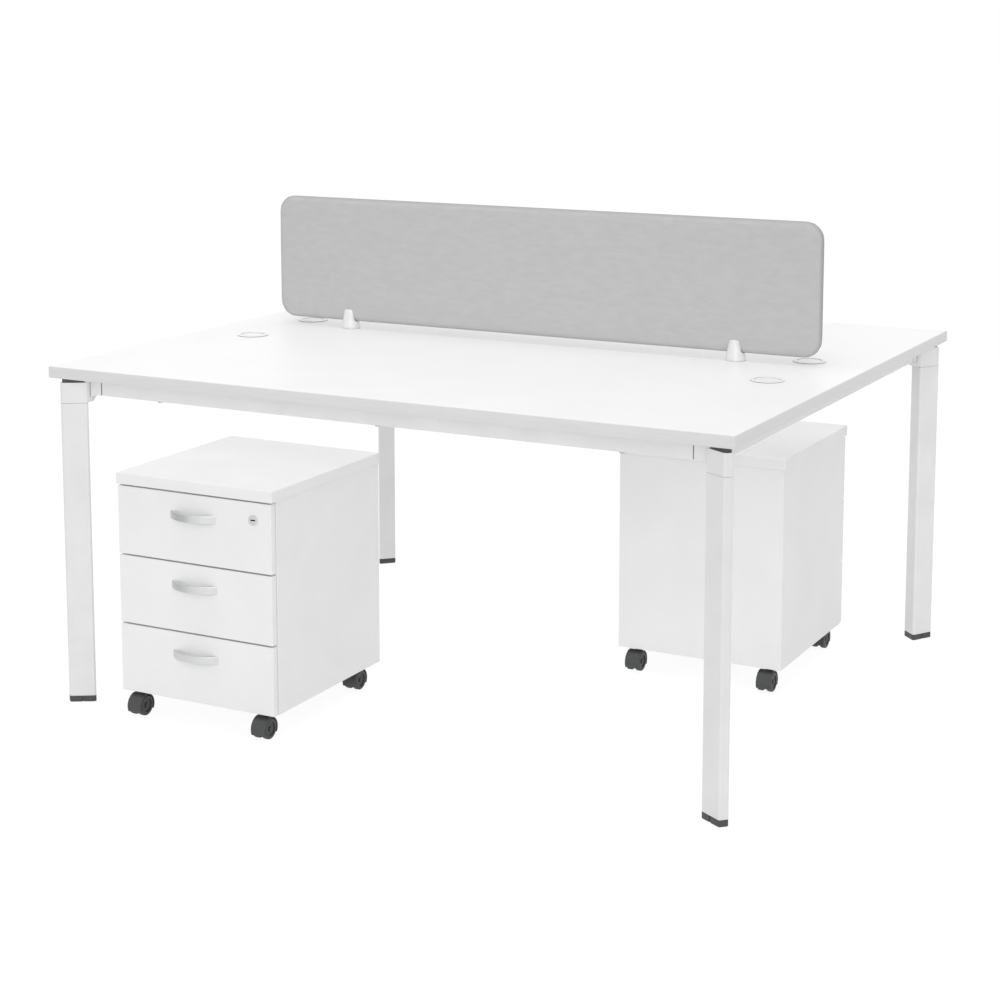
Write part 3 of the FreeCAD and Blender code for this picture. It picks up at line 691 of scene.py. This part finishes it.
# Drawers
# Fronts of the same white board with eased edges, each on a box of thinner light grey boards that slides on
# the runners.
front_edge_radius = 0.0008
box_edge_radius = 0.0006
box_colours = ("#DEDEDC", "#E4E4E2")
drawer_names = ("bottom", "middle", "top")
drawer_board = melamine("light_grey_melamine", box_colours)
for pedestal in pedestals:
    for drawer in drawer_names:
        front = pedestal + "_drawer_front_" + drawer
        softened(front, pedestal_board, front_edge_radius, sharp_holes=True)
        softened(pedestal + "_drawer_box_" + drawer, drawer_board, box_edge_radius)

# Handles
# Bow handles of aluminium strip, brushed along their length and clear anodised. Screws from inside the
# drawer hold their two feet against the front.
satin_colours = ("#CECFD0", "#DADBDC")
brush_mm = 0.9
brush_stretch = (0.04, 0.04, 1.0)


def satin_aluminium():
    """Brushed and anodised aluminium: a pale metal with fine lines along the handle that spread its shine."""
    material, tree, shader, place = start_material("satin_aluminium", Roughness=0.36, Metallic=1.0)
    along = add_node(tree, "ShaderNodeMapping", {"Vector": place, "Scale": brush_stretch})
    brush_sockets = {"Vector": along.outputs[0], "Scale": 1000 / brush_mm, "Detail": 2.0}
    brush = add_node(tree, "ShaderNodeTexNoise", brush_sockets)
    vary_colour(tree, shader, brush.outputs["Fac"], satin_colours)
    raise_surface(tree, shader, brush.outputs["Fac"], depth_mm=0.05, strength=0.3)
    return material


satin = satin_aluminium()
for pedestal in pedestals:
    for drawer in drawer_names:
        softened(pedestal + "_handle_" + drawer, satin)

# Locks
# A zinc die-cast barrel, chromium plated, with a key slot in its face that painted shade makes dark inside.
# It turns in the top drawer's front, and the cam on its tail rises behind the keeper.
lock_edge_radius = 0.0004
chrome_colours = ("#D4D5D6", "#DEDFE0")
chrome_ripple_mm = 15.0
slot_shade_colour = "#1C1C1C"
slot_shade_reach = 0.005


def chrome_plate():
    """Chromium plate: a mirror-bright metal with very slight ripples from the casting under it."""
    material, tree, shader, place = start_material("chromium_plate", Roughness=0.16, Metallic=1.0)
    ripple_sockets = {"Vector": place, "Scale": 1000 / chrome_ripple_mm, "Detail": 1.0}
    ripple = add_node(tree, "ShaderNodeTexNoise", ripple_sockets)
    vary_colour(tree, shader, ripple.outputs["Fac"], chrome_colours)
    raise_surface(tree, shader, ripple.outputs["Fac"], depth_mm=0.05, strength=0.2)
    return material


chrome = chrome_plate()
# Painted shade: the chrome runs near black inside the key slot and the lock's other narrow recesses.
paint_gap_shade(chrome, slot_shade_colour, slot_shade_reach, only_local=True)
for pedestal in pedestals:
    softened(pedestal + "_lock", chrome, lock_edge_radius)

# Casters
# Twin-wheel casters moulded in dark grey polyamide: a hooded fork with a steel stem pushed into the base,
# and two dished wheels on one axle.
fork_edge_radius = 0.0004
wheel_edge_radius = 0.0005
tread_colours = ("#2A2B2C", "#323334")
tread_plastic = moulded_plastic("dark_wheel_polyamide", tread_colours, 0.45)
for pedestal in pedestals:
    for corner in corners:
        softened(pedestal + "_caster_fork_" + corner, dark_plastic, fork_edge_radius)
        softened(pedestal + "_caster_wheels_" + corner, tread_plastic, wheel_edge_radius)

# Studio
# A plain pale floor, a soft white surround, a broad light from the front and right, and a fill lamp overhead
# that the desktop doesn't hold off from the pedestals. Where they are seen, floor and surround are white.
# A grey card at the left shows only in reflections, and gives the handles their darker end.
plain_white = (1.0, 1.0, 1.0, 1.0)
floor_size = 60.0
floor_colour = "#F2F2F2"
floor_white_share = 0.88
floor_glow = 1.06
surround_strength = 0.65
fill_place = (0.0, -0.4, 5.2)
fill_size = 4.5
fill_power = 78.0
card_middle = (-1.25, -1.4, 0.4)
card_length = 1.4
card_height = 0.8
card_grey = 0.62
sun_turn = 25.0
sun_height = 20.0
sun_angle = 50.0
sun_strength = 0.75
passed_names = ("desktop_edging", "frame_rails_finished", "grommet_sleeves_finished", "frame_screws")
scene = bpy.context.scene
scene.view_settings.view_transform = "Standard"


def seen_ray(tree):
    """1 for a ray from the camera, a reflection or glass, and 0 for a ray that lights the object."""
    path = add_node(tree, "ShaderNodeLightPath", {})
    straight_or_gloss = {0: path.outputs["Is Camera Ray"], 1: path.outputs["Is Glossy Ray"]}
    gloss = add_node(tree, "ShaderNodeMath", straight_or_gloss, operation="MAXIMUM")
    or_through = {0: gloss.outputs[0], 1: path.outputs["Is Transmission Ray"]}
    through = add_node(tree, "ShaderNodeMath", or_through, operation="MAXIMUM")
    return through.outputs[0]


def surround():
    """The world: a soft white light, and plain white where it is seen."""
    world = bpy.data.worlds.new("white_surround")
    world.use_nodes = True
    scene.world = world
    tree = world.node_tree
    light = tree.nodes["Background"]
    light.inputs["Color"].default_value = plain_white
    light.inputs["Strength"].default_value = surround_strength
    white = add_node(tree, "ShaderNodeBackground", {"Color": plain_white, "Strength": 1.0})
    either = add_node(
        tree, "ShaderNodeMixShader", {0: seen_ray(tree), 1: light.outputs[0], 2: white.outputs[0]}
    )
    tree.links.new(either.outputs[0], tree.nodes["World Output"].inputs["Surface"])


def floor():
    """A matt floor that is mostly plain white where it is seen."""
    half = floor_size / 2
    mesh = bpy.data.meshes.new("studio_floor")
    floor_corners = [(-half, -half, 0), (half, -half, 0), (half, half, 0), (-half, half, 0)]
    mesh.from_pydata(floor_corners, [], [(0, 1, 2, 3)])
    plane = new_object("studio_floor", mesh)
    material = bpy.data.materials.new("white_floor")
    material.use_nodes = True
    tree = material.node_tree
    tree.nodes.remove(tree.nodes["Principled BSDF"])
    matt = add_node(tree, "ShaderNodeBsdfDiffuse", {"Color": linear(floor_colour)})
    white = add_node(tree, "ShaderNodeEmission", {"Color": plain_white, "Strength": floor_glow})
    share = add_node(
        tree, "ShaderNodeMath", {0: seen_ray(tree), 1: floor_white_share}, operation="MULTIPLY"
    )
    either = add_node(
        tree, "ShaderNodeMixShader", {0: share.outputs[0], 1: matt.outputs[0], 2: white.outputs[0]}
    )
    tree.links.new(either.outputs[0], tree.nodes["Material Output"].inputs["Surface"])
    mesh.materials.append(material)


def grey_card():
    """An upright grey card that only gloss sees."""
    mesh = bpy.data.meshes.new("studio_card")
    ahead = Vector((0, card_length / 2, 0))
    up = Vector((0, 0, card_height / 2))
    mesh.from_pydata([-ahead - up, ahead - up, ahead + up, -ahead + up], [], [(0, 1, 2, 3)])
    card = new_object("studio_card", mesh)
    card.location = card_middle
    material = bpy.data.materials.new("grey_card")
    material.use_nodes = True
    tree = material.node_tree
    tree.nodes.remove(tree.nodes["Principled BSDF"])
    grey = add_node(tree, "ShaderNodeEmission", {"Color": plain_white, "Strength": card_grey})
    tree.links.new(grey.outputs[0], tree.nodes["Material Output"].inputs["Surface"])
    mesh.materials.append(material)
    card.visible_camera = False
    card.visible_diffuse = False
    card.visible_transmission = False
    card.visible_shadow = False


surround()
floor()
grey_card()
passed_pieces = bpy.data.collections.new("passed_by_the_fill_lamp")
for passed in (desktop, *(bpy.data.objects[name] for name in passed_names)):
    passed_pieces.objects.link(passed)
for passed in passed_pieces.collection_objects:
    passed.light_linking.link_state = "EXCLUDE"
fill_data = bpy.data.lights.new("fill_lamp", "AREA")
fill_data.shape = "DISK"
fill_data.size = fill_size
fill_data.energy = fill_power
fill_lamp = new_object("fill_lamp", fill_data)
fill_lamp.location = fill_place
fill_lamp.light_linking.blocker_collection = passed_pieces
sun_data = bpy.data.lights.new("window_light", "SUN")
sun_data.angle = math.radians(sun_angle)
sun_data.energy = sun_strength
sun = new_object("window_light", sun_data)
sun.rotation_euler = (math.radians(90 - sun_height), 0.0, math.radians(sun_turn))

# Camera
# The eye stands in front of the right-hand end, a little above the screen, and looks slightly down. The
# shift brings the object to the middle of the picture.
camera_place = (2.1686, -4.2399, 1.5517)
camera_pitch = 8.14
camera_yaw = 27.66
camera_lens = 75.56
camera_sensor = 36.0
camera_shift = -0.2
camera_data = bpy.data.cameras.new("photo_view")
camera_data.lens = camera_lens
camera_data.sensor_width = camera_sensor
camera_data.shift_y = camera_shift
camera = new_object("photo_view", camera_data)
camera.location = camera_place
camera.rotation_euler = (math.radians(90 - camera_pitch), 0.0, math.radians(camera_yaw))
scene.camera = camera
